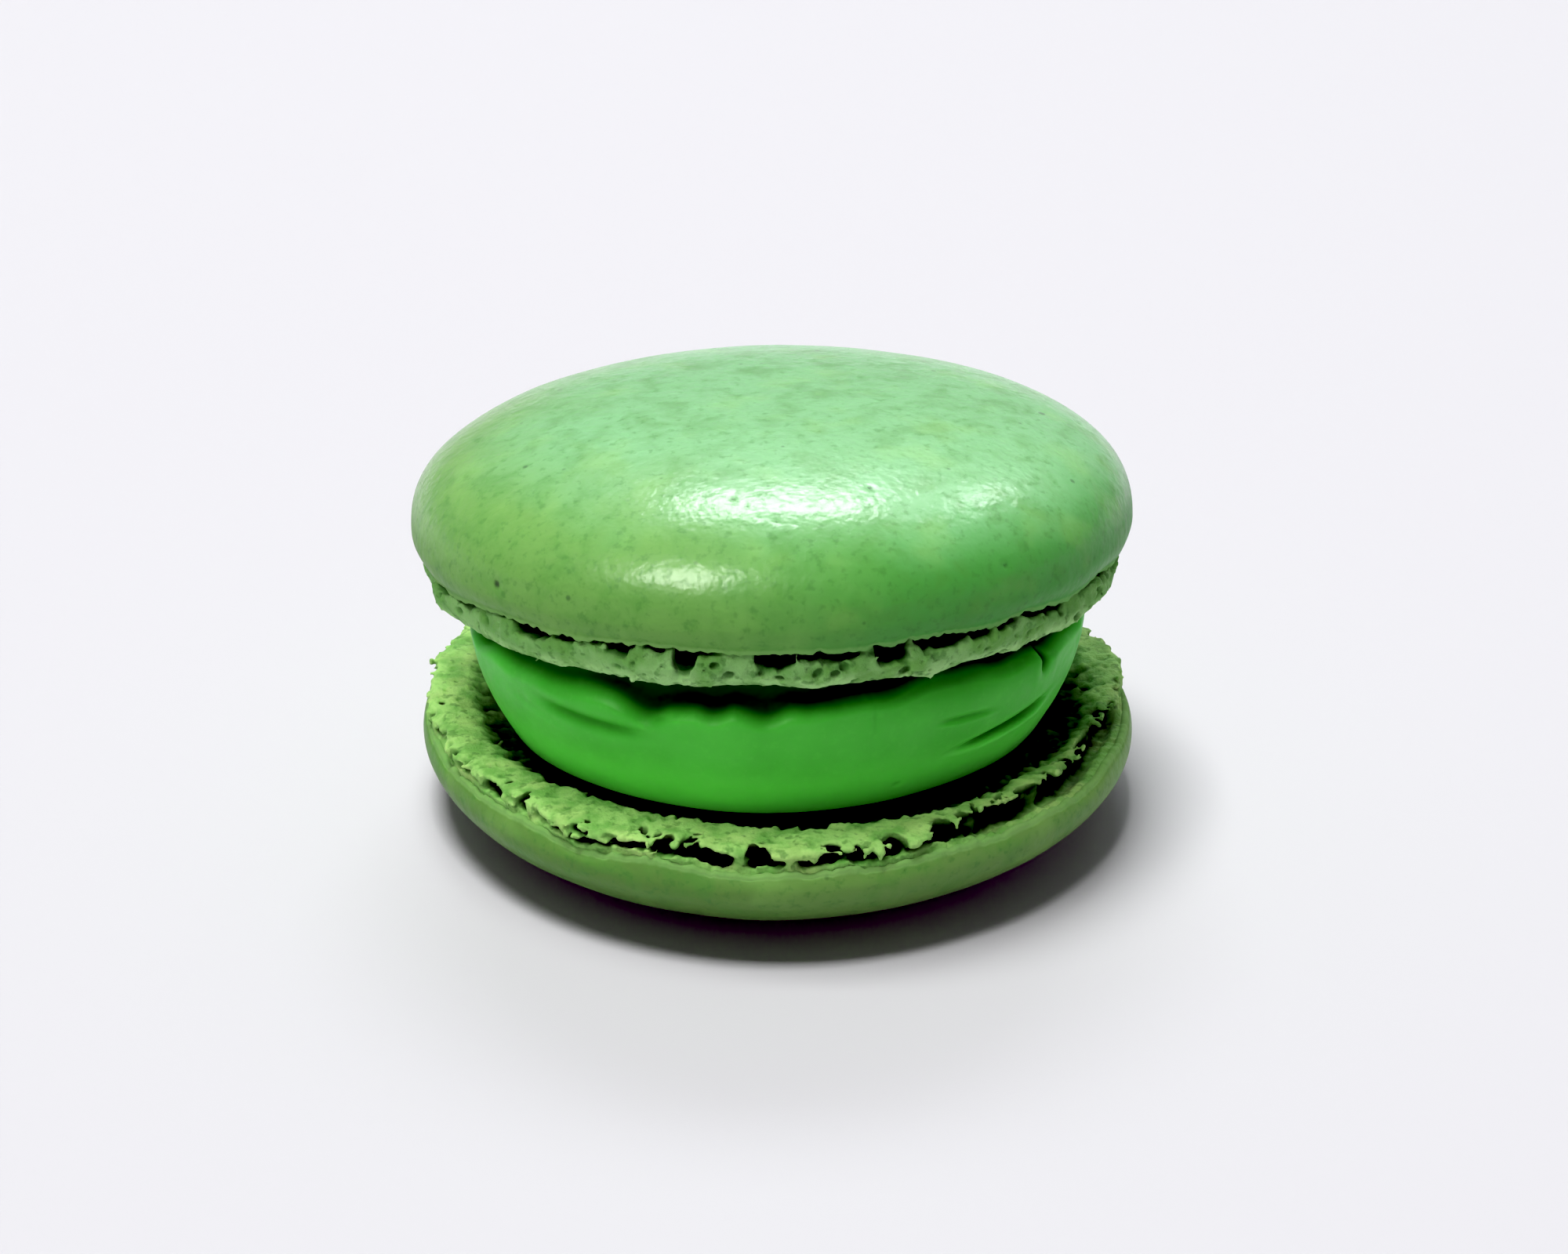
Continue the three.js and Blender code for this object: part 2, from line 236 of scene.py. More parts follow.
def smooth_max(a, b, k):
    """The greater of two fields, rounded over a width k where they meet."""
    h = np.clip(0.5 + 0.5 * (a - b) / k, 0, 1)
    return b * (1 - h) + a * h + k * h * (1 - h)


def ease(low, high, x):
    """0 at low and 1 at high, with a soft start and end. It falls where low is above high."""
    t = np.clip((x - low) / (high - low), 0, 1)
    return t * t * (3 - 2 * t)


# ---------------- lines of a shell


def polar(turn, radius, height):
    return np.stack(np.broadcast_arrays(radius * np.cos(turn), radius * np.sin(turn), height), -1)


def dome_height_at(s, radius):
    """Height of the dome above its equator: a superellipse pressed flat."""
    n = s.fullness
    rise = s.dome_height * (1 - np.minimum(1, radius / s.equator_radius) ** n) ** (1 / n)
    rise = np.maximum(rise, 1e-6)
    return (rise**-PRESS + s.flattening ** -PRESS) ** (-1 / PRESS)


def stretches_all_round(s, front):
    """The front's stretches of crevice, and random ones like them round the back."""
    random = np.random.default_rng(s.seed + 7)
    stretches = list(front)
    at = max(row[1] for row in front) + 1
    stop = min(row[0] for row in front) + 359
    while at < stop:
        width = random.uniform(2, 9)
        tall = 0.2 + s.gape * random.random() ** 1.5
        stretches.append((at, min(at + width, stop), tall, 0.2 * random.random()))
        at += width + random.uniform(0.2, 1.8)
    return stretches


def crevice_at(s, front, turn):
    """Height of the crevice, 0 where skin and crumb are joined, and how far the crumb is set back."""
    height, back = np.zeros_like(turn), np.zeros_like(turn)
    for start, end, tall, recess in stretches_all_round(s, front):
        middle, half = math.radians((start + end) / 2), math.radians((end - start) / 2)
        off = np.abs(turn_between(turn, middle)) / half
        power = BLUNT if end - start > LONG_STRETCH else ROUNDED
        fade = np.sqrt(np.clip(1 - off**power, 0, 1))
        height = np.maximum(height, tall * fade)
        back = np.maximum(back, recess * fade)
    return height, back


def out_of_round(s, turn):
    return OUT_OF_ROUND * unevenness(s.seed + 1, 2, 4)(turn)


def lip_at(s, turn):
    """Height of the skin's torn lower edge: its slow wave, and that with its frill."""
    wave = unevenness(s.seed + 4, 6, 20)
    frill = unevenness(s.seed + 21, 24, 90)
    fray = unevenness(s.seed + 22, 90, 240)
    smooth = s.lip_height + LIP_WAVE * wave(turn)
    return smooth, smooth + LIP_FRILL * frill(turn) + LIP_FRAY * fray(turn)


# ---------------- the feet, carved on a grid

GRID_INNER = 17.3  # radius at which the grid starts, under the filling
GRID_MARGIN, GRID_BELOW, GRID_ABOVE = 1.1, 0.5, 0.05  # how far it reaches outside, below and above the foot
FLATTER = 0.95  # height of the grid's cells, as a share of their width


class Foot:
    """A shell's foot as a signed field on a grid of turn, radius and height, negative inside.

    Three kinds of noise make it ragged: broad swells, tears, and spikes that point towards the filling.
    """

    def __init__(self, s, crevice, bubbles, moat):
        self.s = s
        self.random = np.random.default_rng(s.seed)
        count = int(round(TURN * s.foot_top / GRAIN))
        self.turn = np.arange(count) * TURN / count
        self.radius = np.arange(GRID_INNER, s.foot_top + GRID_MARGIN, GRAIN)
        self.height = np.arange(-GRID_BELOW, s.lip_height + LINING + GRID_ABOVE, GRAIN * FLATTER)
        t, r, z = np.meshgrid(self.turn, self.radius, self.height, indexing="ij")
        self.grid = polar(t, r, z)
        self.broad = fractal(self.grid, 2.0, BROAD, 2)
        self.tear = fractal(self.grid, 0.8, TEARS, 2)
        self.spikes = noise(polar(t, 20.0, 0.35 * r + 0.5 * z), 0.5, SPIKES)
        self.round = out_of_round(s, self.turn)[:, None, None]
        self.gap, recess = crevice_at(s, crevice, self.turn)
        lip = lip_at(s, self.turn)[1][:, None, None]
        under = s.lip_radius - 0.3 + self.round
        self.side = self.side_radius(t, z, lip, recess[:, None, None])
        outline = self.drawn_in(self.side, under, z - lip)
        face, sunk = self.face_height(r, moat)
        field = smooth_max(r - outline, face - z, 0.5)
        field = smooth_max(field, -self.crevice_hollow(r, z, lip, under), 0.12)
        self.field = (field + self.crumb(r, z - lip, sunk)).astype(np.float32)
        self.burst(bubbles)
        self.scatter()
        self.string_strands()

    def side_radius(self, t, z, lip, recess):
        """Radius of the foot's outer side: bowed, ruffled, and set back where the crevice asks."""
        s = self.s
        share = np.clip(z / (lip - 0.3), 0, 1)
        bow = 4 * share * (1 - share)
        side = s.foot_bottom + (s.foot_top - s.foot_bottom) * share
        side = side + (s.foot_middle - 0.5 * (s.foot_bottom + s.foot_top)) * bow
        side = side + s.ruffle * unevenness(s.seed + 2, 7, 24)(t[:, :1, :], z[:, :1, :])
        side = side + self.round
        return side - recess * (1 + 0.2 * self.broad + 0.15 * self.tear)

    def drawn_in(self, side, under, above):
        """The side, drawn in behind the lip and then up under the skin, by the height above the lip."""
        behind = np.minimum(side, under + 0.16)
        outline = side + (behind - side) * ease(-0.5, -0.1, above)
        return outline + (under - outline) * ease(-0.1, 0.15, above)

    def crevice_hollow(self, r, z, lip, under):
        """The crevice between lip and crumb, negative inside, with a vault behind the lip."""
        s, broad, tear = self.s, self.broad, self.tear
        opening = self.gap[:, None, None]
        ceiling = lip + s.crumb_rim + 0.12 * tear + 0.1 * np.maximum(0, -broad)
        floor = ceiling - 0.12 - opening + 0.14 * broad + 0.18 * tear
        floor = np.maximum(floor, 0.22 * opening + 0.1 * tear)
        vault = ceiling + s.vault * ease(0.0, 1.2, under - r) * ease(0.2, 0.6, opening)
        least = 0.35
        depth = least + (s.crevice_depth - least) * ease(0.1, 0.6, opening)
        inner = s.foot_top - depth + self.round + 0.3 * broad
        return np.maximum(np.maximum(floor - z, z - vault), inner - r)

    def face_height(self, r, moat):
        """Height of the flat face, with its hem and ragged moat, and 1 where it is sunk in the moat."""
        s = self.s
        hem = np.abs(unevenness(s.seed + 3, 6, 22)(self.turn))[:, None, None]
        face = 0.04 * s.lip_height * hem * ease(18.5, s.foot_bottom, r)
        bend, edges, slopes, sinks = (np.array(column, float) for column in zip(*moat))
        self.moat = float(edges.min())
        degrees = np.degrees(self.turn)
        edge, slope, sink = (
            np.interp(degrees, bend, row, period=360)[:, None, None] for row in (edges, slopes, sinks)
        )
        ragged = (r - edge + 0.2 * self.broad + 0.35 * self.tear + 0.4 * self.spikes) / slope
        face = face + sink * ease(0.1, -0.9, ragged)
        face = face + 0.14 * np.maximum(0, self.spikes) * ease(1.2, 0.1, np.abs(r - edge - 0.2))
        return face, ease(0.2, -0.8, ragged)

    def crumb(self, r, above, sunk):
        """Roughness of the crumb: strongest in the moat, and none at the grid's inner and upper edges."""
        rough = 0.08 * noise(self.grid, 1.3, CRUMB) + 0.1 * noise(self.grid, 0.62, CRUMB + 1)
        rough = rough + 0.1 * noise(self.grid, 0.36, CRUMB + 2)
        rough = (self.s.rough + 0.7 * sunk) * rough * ease(17.4, 17.8, r)
        return rough * ease(LINING, LINING - 0.3, above)

    def local(self, turn, radius, height, reach):
        """The grid within reach of a point, and offsets from it along the turn, outwards and upwards."""
        wide = int(reach / (radius * self.turn[1])) + 2
        middle = int(round(turn / self.turn[1]))
        i = np.arange(middle - wide, middle + wide + 1) % len(self.turn)
        j = np.nonzero(np.abs(self.radius - radius) < reach + GRAIN)[0]
        k = np.nonzero(np.abs(self.height - height) < reach + GRAIN)[0]
        where = np.ix_(i, j, k)
        points = self.grid[where]
        out = np.array([math.cos(turn), math.sin(turn)])
        x, y = points[..., 0], points[..., 1]
        return where, y * out[0] - x * out[1], x * out[0] + y * out[1] - radius, points[..., 2] - height

    def ellipsoid(self, turn, radius, height, half):
        """How deep places are in an ellipsoid with halves along the turn, outwards and upwards."""
        where, along, out, up = self.local(turn, radius, height, max(half) + 0.3)
        d = np.sqrt((along / half[0]) ** 2 + (out / half[1]) ** 2 + (up / half[2]) ** 2) - 1
        return where, -d * min(half)

    def carve(self, turn, radius, height, half):
        where, depth = self.ellipsoid(turn, radius, height, half)
        self.field[where] = smooth_max(self.field[where], depth - 0.16 * self.tear[where], 0.08)

    def add(self, turn, radius, height, half):
        where, depth = self.ellipsoid(turn, radius, height, half)
        self.field[where] = -smooth_max(-self.field[where], depth, 0.1)

    def side_at(self, turn, height):
        i = int(round(turn / self.turn[1])) % len(self.turn)
        k = int(np.argmin(np.abs(self.height - height)))
        return float(self.side[i, 0, k])

    def gap_at(self, turn):
        return self.gap[int(turn / self.turn[1]) % len(self.turn)]

    def crumb_top(self, turn):
        """Height of the crumb under the crevice."""
        return self.s.lip_height + self.s.crumb_rim - self.gap_at(turn)

    def burst(self, bubbles):
        for degrees, half, level, tall in bubbles:
            turn = math.radians(degrees)
            height = level * self.s.lip_height
            self.carve(turn, self.side_at(turn, height) - 0.15, height, (half, 1.5 * half + 0.3, tall))

    def scatter(self):
        """Small bubbles in the side, pits in the face and crumbs on the side."""
        random = self.random
        for _ in range(SIDE_BUBBLES):
            turn = random.uniform(0, TURN)
            half = 0.13 + 0.3 * random.random() ** 4
            height = self.crumb_top(turn) * random.beta(2.2, 1.4)
            depth = 0.3 * half * random.random()
            flat = random.uniform(0.6, 1.0)
            self.carve(turn, self.side_at(turn, height) - depth, height, (half, half * 1.1, half * flat))
        for _ in range(FACE_PITS):
            turn = random.uniform(0, TURN)
            radius = random.uniform(self.moat - 0.2, self.s.foot_bottom)
            half = 0.12 + 0.2 * random.random() ** 3
            self.carve(turn, radius, -0.04, (half, half * random.uniform(0.7, 1.3), half * 0.9))
        for _ in range(CRUMBS):
            turn = random.uniform(0, TURN)
            half = 0.11 + 0.14 * random.random() ** 2
            height = 0.1 + max(0.05, self.crumb_top(turn) - 0.35) * random.random()
            self.add(turn, self.side_at(turn, height) + 0.02, height, (half, half * 0.7, half))

    def string_strands(self):
        """Slanting strands across the crevice, each of five beads, thinnest in the middle."""
        s, random = self.s, self.random
        for _ in range(s.strands):
            turn, slant = random.uniform(0, TURN), random.normal(0, 0.025)
            tall = self.gap_at(turn)
            radius, thick = s.foot_top - random.uniform(0.4, 1.1), random.uniform(0.12, 0.26)
            for step in range(5):
                level = s.lip_height + s.crumb_rim - tall * (step - 0.5) / 3
                wide = thick * (1 + 0.6 * abs(step - 2) / 2)
                self.add(turn + slant * step / 4, radius, level, (wide, wide, 0.3 * tall + 0.1))


# ---------------- from a field to a mesh


def layer(axis, index):
    """The index of one layer of a grid."""
    at = [slice(None)] * 3
    at[axis] = index
    return tuple(at)


def mend(field):
    """Fills a corner between solid corners that only touch across a grid face, to close the net."""
    just_inside = -1e-3
    for _ in range(20):
        changed = 0
        for axes in ((0, 1), (0, 2), (1, 2)):
            a = field < 0
            b = np.roll(a, -1, axes[0])
            c = np.roll(a, -1, axes[1])
            d = np.roll(b, -1, axes[1])
            one = a & d & ~b & ~c
            two = b & c & ~a & ~d
            for axis in axes:
                if axis > 0:
                    one[layer(axis, -1)] = two[layer(axis, -1)] = False
            field[two] = just_inside
            field[np.roll(one, 1, axes[0])] = just_inside
            changed += int(one.sum() + two.sum())
        if not changed:
            break
    return field


def net_vertices(field):
    """A vertex, in grid units, in each cell that the surface crosses, and the vertices' numbers by cell."""
    whole = np.concatenate([field, field[:1]], 0)
    n0, n1, n2 = (n - 1 for n in whole.shape)
    total = np.zeros((n0, n1, n2, 3), np.float32)
    count = np.zeros((n0, n1, n2), np.float32)

    def corner(a, b, c):
        return whole[a:n0 + a, b:n1 + b, c:n2 + c]

    for axis in range(3):
        others = [other for other in range(3) if other != axis]
        for p, q in itertools.product((0, 1), repeat=2):
            low, high = [0, 0, 0], [0, 0, 0]
            low[others[0]] = high[others[0]] = p
            low[others[1]] = high[others[1]] = q
            high[axis] = 1
            a, b = corner(*low), corner(*high)
            crosses = (a < 0) != (b < 0)
            total[..., axis] += np.where(crosses, a / np.where(crosses, a - b, 1), 0)
            total[..., others[0]] += crosses * p
            total[..., others[1]] += crosses * q
            count += crosses
    used = count > 0
    number = np.cumsum(used).reshape(used.shape) - 1
    return np.argwhere(used) + total[used] / count[used][:, None], number


def net_quads(solid, number):
    """A quad, facing out, across each grid edge on which the solid starts or ends."""
    quads = []
    for axis in range(3):
        crosses = solid != np.roll(solid, -1, axis)
        for other in (1, 2):
            crosses[layer(other, -1)] = False
            if other != axis:
                crosses[layer(other, 0)] = False
        i, j, k = np.nonzero(crosses)
        u, v = [(1, 2), (2, 0), (0, 1)][axis]
        around = []
        for du, dv in ((-1, -1), (0, -1), (0, 0), (-1, 0)):
            at = [i.copy(), j.copy(), k.copy()]
            at[u] += du
            at[v] += dv
            around.append(number[at[0] % len(number), at[1], at[2]])
        quad = np.stack(around, 1)
        leaving = solid[i, j, k]
        quads.append(np.where(leaving[:, None], quad[:, ::-1], quad))
    return np.concatenate(quads)


def surface_net(field):
    """Vertices, in grid units, and quads of the field's zero surface. Only axis 0 is periodic."""
    vertices, number = net_vertices(field)
    return vertices, net_quads(field < 0, number)


def largest_part(vertices, faces):
    """Keeps the largest connected part of a mesh, so that no loose crumb or sealed bubble is left."""
    label = np.arange(len(vertices))
    a, b = faces.ravel(), np.roll(faces, -1, 1).ravel()
    while True:
        low = np.minimum(label[a], label[b])
        new = label.copy()
        np.minimum.at(new, a, low)
        np.minimum.at(new, b, low)
        new = new[new]
        if (new == label).all():
            break
        label = new
    keep = label == np.bincount(label).argmax()
    number = np.cumsum(keep) - 1
    return vertices[keep], number[faces[keep[faces[:, 0]]]]


def relax(points, faces, pull):
    """Evens out a mesh by pulling each vertex towards the middle of its neighbours."""
    a, b = faces.ravel(), np.roll(faces, -1, 1).ravel()
    weight = np.bincount(a, minlength=len(points)) + np.bincount(b, minlength=len(points))
    total = np.stack([
        np.bincount(a, points[b, axis], len(points)) + np.bincount(b, points[a, axis], len(points))
        for axis in range(3)
    ], 1)
    return points + pull * (total / weight[:, None] - points)


def close_with_fans(points, faces, centres):
    """Closes each open edge of a mesh with a fan to the nearest of the centres."""
    edges = np.stack([faces.ravel(), np.roll(faces, -1, 1).ravel()], 1)
    key = edges[:, 0].astype(np.int64) * len(points) + edges[:, 1]
    back = edges[:, 1].astype(np.int64) * len(points) + edges[:, 0]
    loose = edges[~np.isin(key, back)]
    middle = points[loose].mean(1)
    nearest = np.argmin(np.abs(middle[:, 2:] - np.array([c[2] for c in centres])[None]), 1)
    fans = np.stack([loose[:, 1], loose[:, 0], len(points) + nearest], 1)
    return np.concatenate([points, np.array(centres, float)]), fans


def foot_mesh(s, crevice, bubbles, moat):
    """A foot's points, quads, triangles and attributes.

    Attributes: deep is how far a point lies behind the outline, in mm, and hem is 1 at the flat face.
    """
    foot = Foot(s, crevice, bubbles, moat)
    vertices, quads = largest_part(*surface_net(mend(foot.field)))
    turn = vertices[:, 0] * foot.turn[1]
    radius = foot.radius[0] + vertices[:, 1] * GRAIN
    height = foot.height[0] + vertices[:, 2] * (foot.height[1] - foot.height[0])
    points = relax(polar(turn, radius, height), quads, 0.4)
    i = np.round(vertices[:, 0]).astype(int) % len(foot.turn)
    k = np.clip(np.round(vertices[:, 2]).astype(int), 0, len(foot.height) - 1)
    deep = np.minimum(foot.side[i, 0, k] - np.hypot(points[:, 0], points[:, 1]), points[:, 2])
    # hem paints a highlight on the crumb towards the flat face.
    hem = ease(1.7, 0.05, points[:, 2])
    points, fans = close_with_fans(points, quads, [(0, 0, 0.1), (0, 0, float(foot.height[-1]))])
    return points, quads, fans, {"deep": np.append(deep, [0, 0]), "hem": np.append(hem, [0, 0])}


# ---------------- meshes of rings


def ring_quads(rings, count):
    """Quads between neighbouring rings of count points, facing out where the rings go up."""
    ring = np.arange(rings - 1)[:, None] * count
    j = np.arange(count)[None]
    after = (j + 1) % count
    return np.stack([ring + j, ring + after, ring + count + after, ring + count + j], -1)


def fan(centre, start, count):
    """Triangles, facing up, from a centre to a ring of count points that begins with number start."""
    j = np.arange(count)
    return np.stack([np.full(count, centre), start + j, start + (j + 1) % count], 1)


def turned_over(faces):
    """Faces that look the other way, with the same first corner."""
    return np.concatenate([faces[..., :1], faces[..., :0:-1]], -1)


def skin_rings(s):
    """A skin's rings from the middle of its dome, round the equator and the lip, to its back.

    Columns are radius, height, and the share that a ring takes of the lip's wave, frill and pale colour.
    """
    rings = []
    for i in range(DOME_RINGS):
        radius = s.equator_radius * math.sin(i / DOME_RINGS * math.pi / 2) ** 0.9
        rings.append((radius, s.equator_height + float(dome_height_at(s, radius)), 0, 0, 0))
    drop = s.equator_height - s.lip_height - 0.25
    for i in range(UNDER_RINGS):
        share = i / UNDER_RINGS
        bulge = math.cos(share * math.pi / 2) ** 0.8
        radius = s.lip_radius + (s.equator_radius - s.lip_radius) * bulge
        rings.append((radius, s.equator_height - drop * share, share**2, share**10, share**3))
    half = LIP_THICKNESS / 2
    for i in range(LIP_RINGS):
        angle = i / (LIP_RINGS - 1) * math.pi * 0.85
        radius = s.lip_radius - half + half * math.cos(angle)
        rings.append((radius, s.lip_height + half - half * math.sin(angle), 1, 1, 1))
    for share in (0.25, 0.5, 0.75, 1.0):
        radius = s.lip_radius - LIP_THICKNESS - 0.3 * share
        rings.append((radius, s.lip_height + 0.16 + 1.4 * share, 1 - share, 1 - share, 1))
    return [np.array(column)[:, None] for column in zip(*rings)]


def skin_mesh(s, pits):
    """A shell's skin and the dome under it: a closed cap whose lower edge is the torn lip.

    Attributes: rim is 1 at the lip, speck is 1 in a dark pit, and low is 0 on the dome and 1 below it.
    """
    turn = np.arange(SKIN_SEGMENTS) * TURN / SKIN_SEGMENTS
    radius, height, wave, torn, rim = skin_rings(s)
    smooth, frilled = (edge[None] for edge in lip_at(s, turn))
    r = radius + out_of_round(s, turn)[None] * (radius / s.equator_radius)
    z = height + wave * (smooth - s.lip_height) + torn * (frilled - smooth)
    points = polar(turn[None], r, z)
    relief = 0.07 * fractal(points, 9.0, SWELL + s.seed, 2) * (1 - wave)
    speck = np.zeros(r.shape)
    for x, y, half, dark in pits:
        pit_height = s.equator_height + float(dome_height_at(s, math.hypot(x, y)))
        distance = np.linalg.norm(points - np.array([x, y, pit_height]), axis=-1)
        near = np.exp(-((distance / half) ** 2))
        speck = np.maximum(speck, near * dark)
        relief = relief - 0.12 * near * dark
    dr, dz = np.gradient(radius[:, 0]), np.gradient(height[:, 0])
    length = np.hypot(dr, dz)
    out_r, out_z = (-dz / length)[:, None], (dr / length)[:, None]
    points = polar(turn[None], r + relief * out_r, z + relief * out_z).reshape(-1, 3)
    low = ease(s.equator_height + 4.0, s.equator_height - 0.5, height)
    attributes = {"rim": rim, "speck": speck, "low": low}

    # The first ring is the middle of the dome, and one vertex stands for it.
    rings = len(radius)
    quads = turned_over(ring_quads(rings, SKIN_SEGMENTS))[1:].reshape(-1, 4)
    back = turned_over(fan(len(points), (rings - 1) * SKIN_SEGMENTS, SKIN_SEGMENTS))
    tris = np.concatenate([fan(0, SKIN_SEGMENTS, SKIN_SEGMENTS), back])
    points = np.concatenate([points, [[0, 0, s.lip_height + 1.56]]])
    keep = np.ones(len(points), bool)
    keep[1:SKIN_SEGMENTS] = False
    number = np.cumsum(keep) - 1
    for key, values in attributes.items():
        attributes[key] = np.append(np.broadcast_to(values, r.shape).reshape(-1), 0)[keep]
    return points[keep], number[quads], number[tris], attributes


def bell(turn, degrees, spread, power=2):
    """1 at a turn, fading to nothing over a spread, both in degrees."""
    return np.exp(-((turn_between(turn, math.radians(degrees))[None] / math.radians(spread)) ** power))


def smeared(turn, r, z):
    """The filling's radius with its folds and dents, and how deep places lie in them, which the colour
    darkens as painted shade.
    """
    creases = np.zeros(r.shape)
    for degrees, spread, level, climb, step, soft in FOLDS:
        along = turn_between(turn, math.radians(degrees))[None] / math.radians(spread)
        off = (level + climb * along - z) * np.sign(step)
        edge = 1 / (1 + np.exp(np.clip(-off / soft, -40, 40)))
        groove = np.exp(-(((off + 1.5 * soft) / (2 * soft)) ** 2))
        strength = abs(step) * np.exp(-(along**4))
        r = r + strength * (np.exp(-0.9 * np.maximum(0, off)) * edge - 0.9 * groove)
        creases = np.maximum(creases, strength * groove)
    for degrees, level, wide, tall, deep in DENTS:
        along = turn_between(turn, math.radians(degrees))[None] * FILLING.radius / wide
        dent = deep * np.exp(-(along**2) - ((z - level) / tall) ** 2)
        r = r - dent
        creases = np.maximum(creases, dent)
    return r, creases


def filling_mesh(height, top_at):
    """The filling, up to top_at(x, y), with its middle at height.

    Attributes: tuck is painted shade, in folds and dents, on the drawn-in top and on one side.
    low is painted light: 1 at the foot, fading above it.
    """
    f = FILLING
    turn = np.arange(FILLING_SEGMENTS) * TURN / FILLING_SEGMENTS
    share = np.linspace(0, 1, FILLING_ROWS)[:, None]
    below = 1 - np.minimum(1, share / f.belly_height)
    radius = f.radius + (f.foot_radius - f.radius) * below ** f.belly_power
    oval = unevenness(f.seed + 1, 2, 6)(turn)[None]
    lump = unevenness(f.seed + 2, 3, 12)(turn[None], 2 * share)
    drop = 0.12 * unevenness(f.seed + 3, 8, 30)(turn)[None]
    for degrees, spread, lower in SCALLOPS:
        drop = drop + lower * bell(turn, degrees, spread)
    tuck = ease(-2.0, -0.6, share * height - height + drop)
    tuck = tuck * (1 - 0.45 * bell(turn, *SHALLOW_TUCK, power=4))
    r = radius - (f.radius - f.top_radius) * tuck + 0.12 * oval + 0.06 * lump
    around = polar(turn[None], 19.5, height * share)
    r = r + 0.05 * fractal(around * np.array([0.35, 0.35, 1.0]), 1.6, SMEAR, 3)
    z = share * top_at(r * np.cos(turn[None]), r * np.sin(turn[None]))
    r, creases = smeared(turn, r, z)
    r = r - 0.5 * ease(0.96, 1.0, share)
    x, y = r * np.cos(turn[None]), r * np.sin(turn[None])
    points = np.stack([x, y, share * top_at(x, y)], -1).reshape(-1, 3)
    # Painted shade on the upper half of one side.
    shade = 0.34 * bell(turn, *SHADED_SIDE, power=4) * ease(-3.6, -0.9, share * height - height)
    # The tuck attribute carries the painted shade: the drawn-in top, that side, and the folds and dents.
    dark = np.maximum(tuck, shade + 1.1 * creases)
    # Painted light: the foot of the filling is lighter.
    low = np.broadcast_to(ease(0.55, 0.05, share), r.shape)
    attributes = {"tuck": np.append(dark.ravel(), [0, 1]), "low": np.append(low.ravel(), [1, 0])}

    quads = ring_quads(FILLING_ROWS, FILLING_SEGMENTS).reshape(-1, 4)
    foot = turned_over(fan(len(points), 0, FILLING_SEGMENTS))
    top = fan(len(points) + 1, (FILLING_ROWS - 1) * FILLING_SEGMENTS, FILLING_SEGMENTS)
    points = np.concatenate([points, [[0, 0, 0], [0, 0, float(top_at(0.0, 0.0))]]])
    return points, quads, np.concatenate([foot, top]), attributes


# ---------------- objects


def add_object(name, data):
    obj = bpy.data.objects.new(name, data)
    bpy.context.scene.collection.objects.link(obj)
    return obj


def add_piece(name, shape, place, look, node):
    """A smooth-shaded piece that stands for a CAD node, from a shape in mm, in its own frame."""
    points, quads, tris, attributes = shape
    m = np.array(place)
    points = (points @ m[:3, :3].T + m[:3, 3]) * MM
    mesh = bpy.data.meshes.new(name)
    loops = np.concatenate([quads.ravel(), tris.ravel()]).astype(np.int32)
    mesh.vertices.add(len(points))
    mesh.vertices.foreach_set("co", points.astype(np.float32).ravel())
    mesh.loops.add(len(loops))
    mesh.loops.foreach_set("vertex_index", loops)
    mesh.polygons.add(len(quads) + len(tris))
    start = np.concatenate([np.arange(len(quads)) * 4, len(quads) * 4 + np.arange(len(tris)) * 3])
    mesh.polygons.foreach_set("loop_start", start.astype(np.int32))
    mesh.update(calc_edges=True)
    mesh.validate()
    mesh.polygons.foreach_set("use_smooth", np.ones(len(mesh.polygons), bool))
    for key, values in attributes.items():
        mesh.attributes.new(key, "FLOAT", "POINT").data.foreach_set("value", np.asarray(values, np.float32))
    mesh.materials.append(look)
    piece = add_object(name, mesh)
    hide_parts(node)
    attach(piece, "root")
    return piece


# ---------------- materials


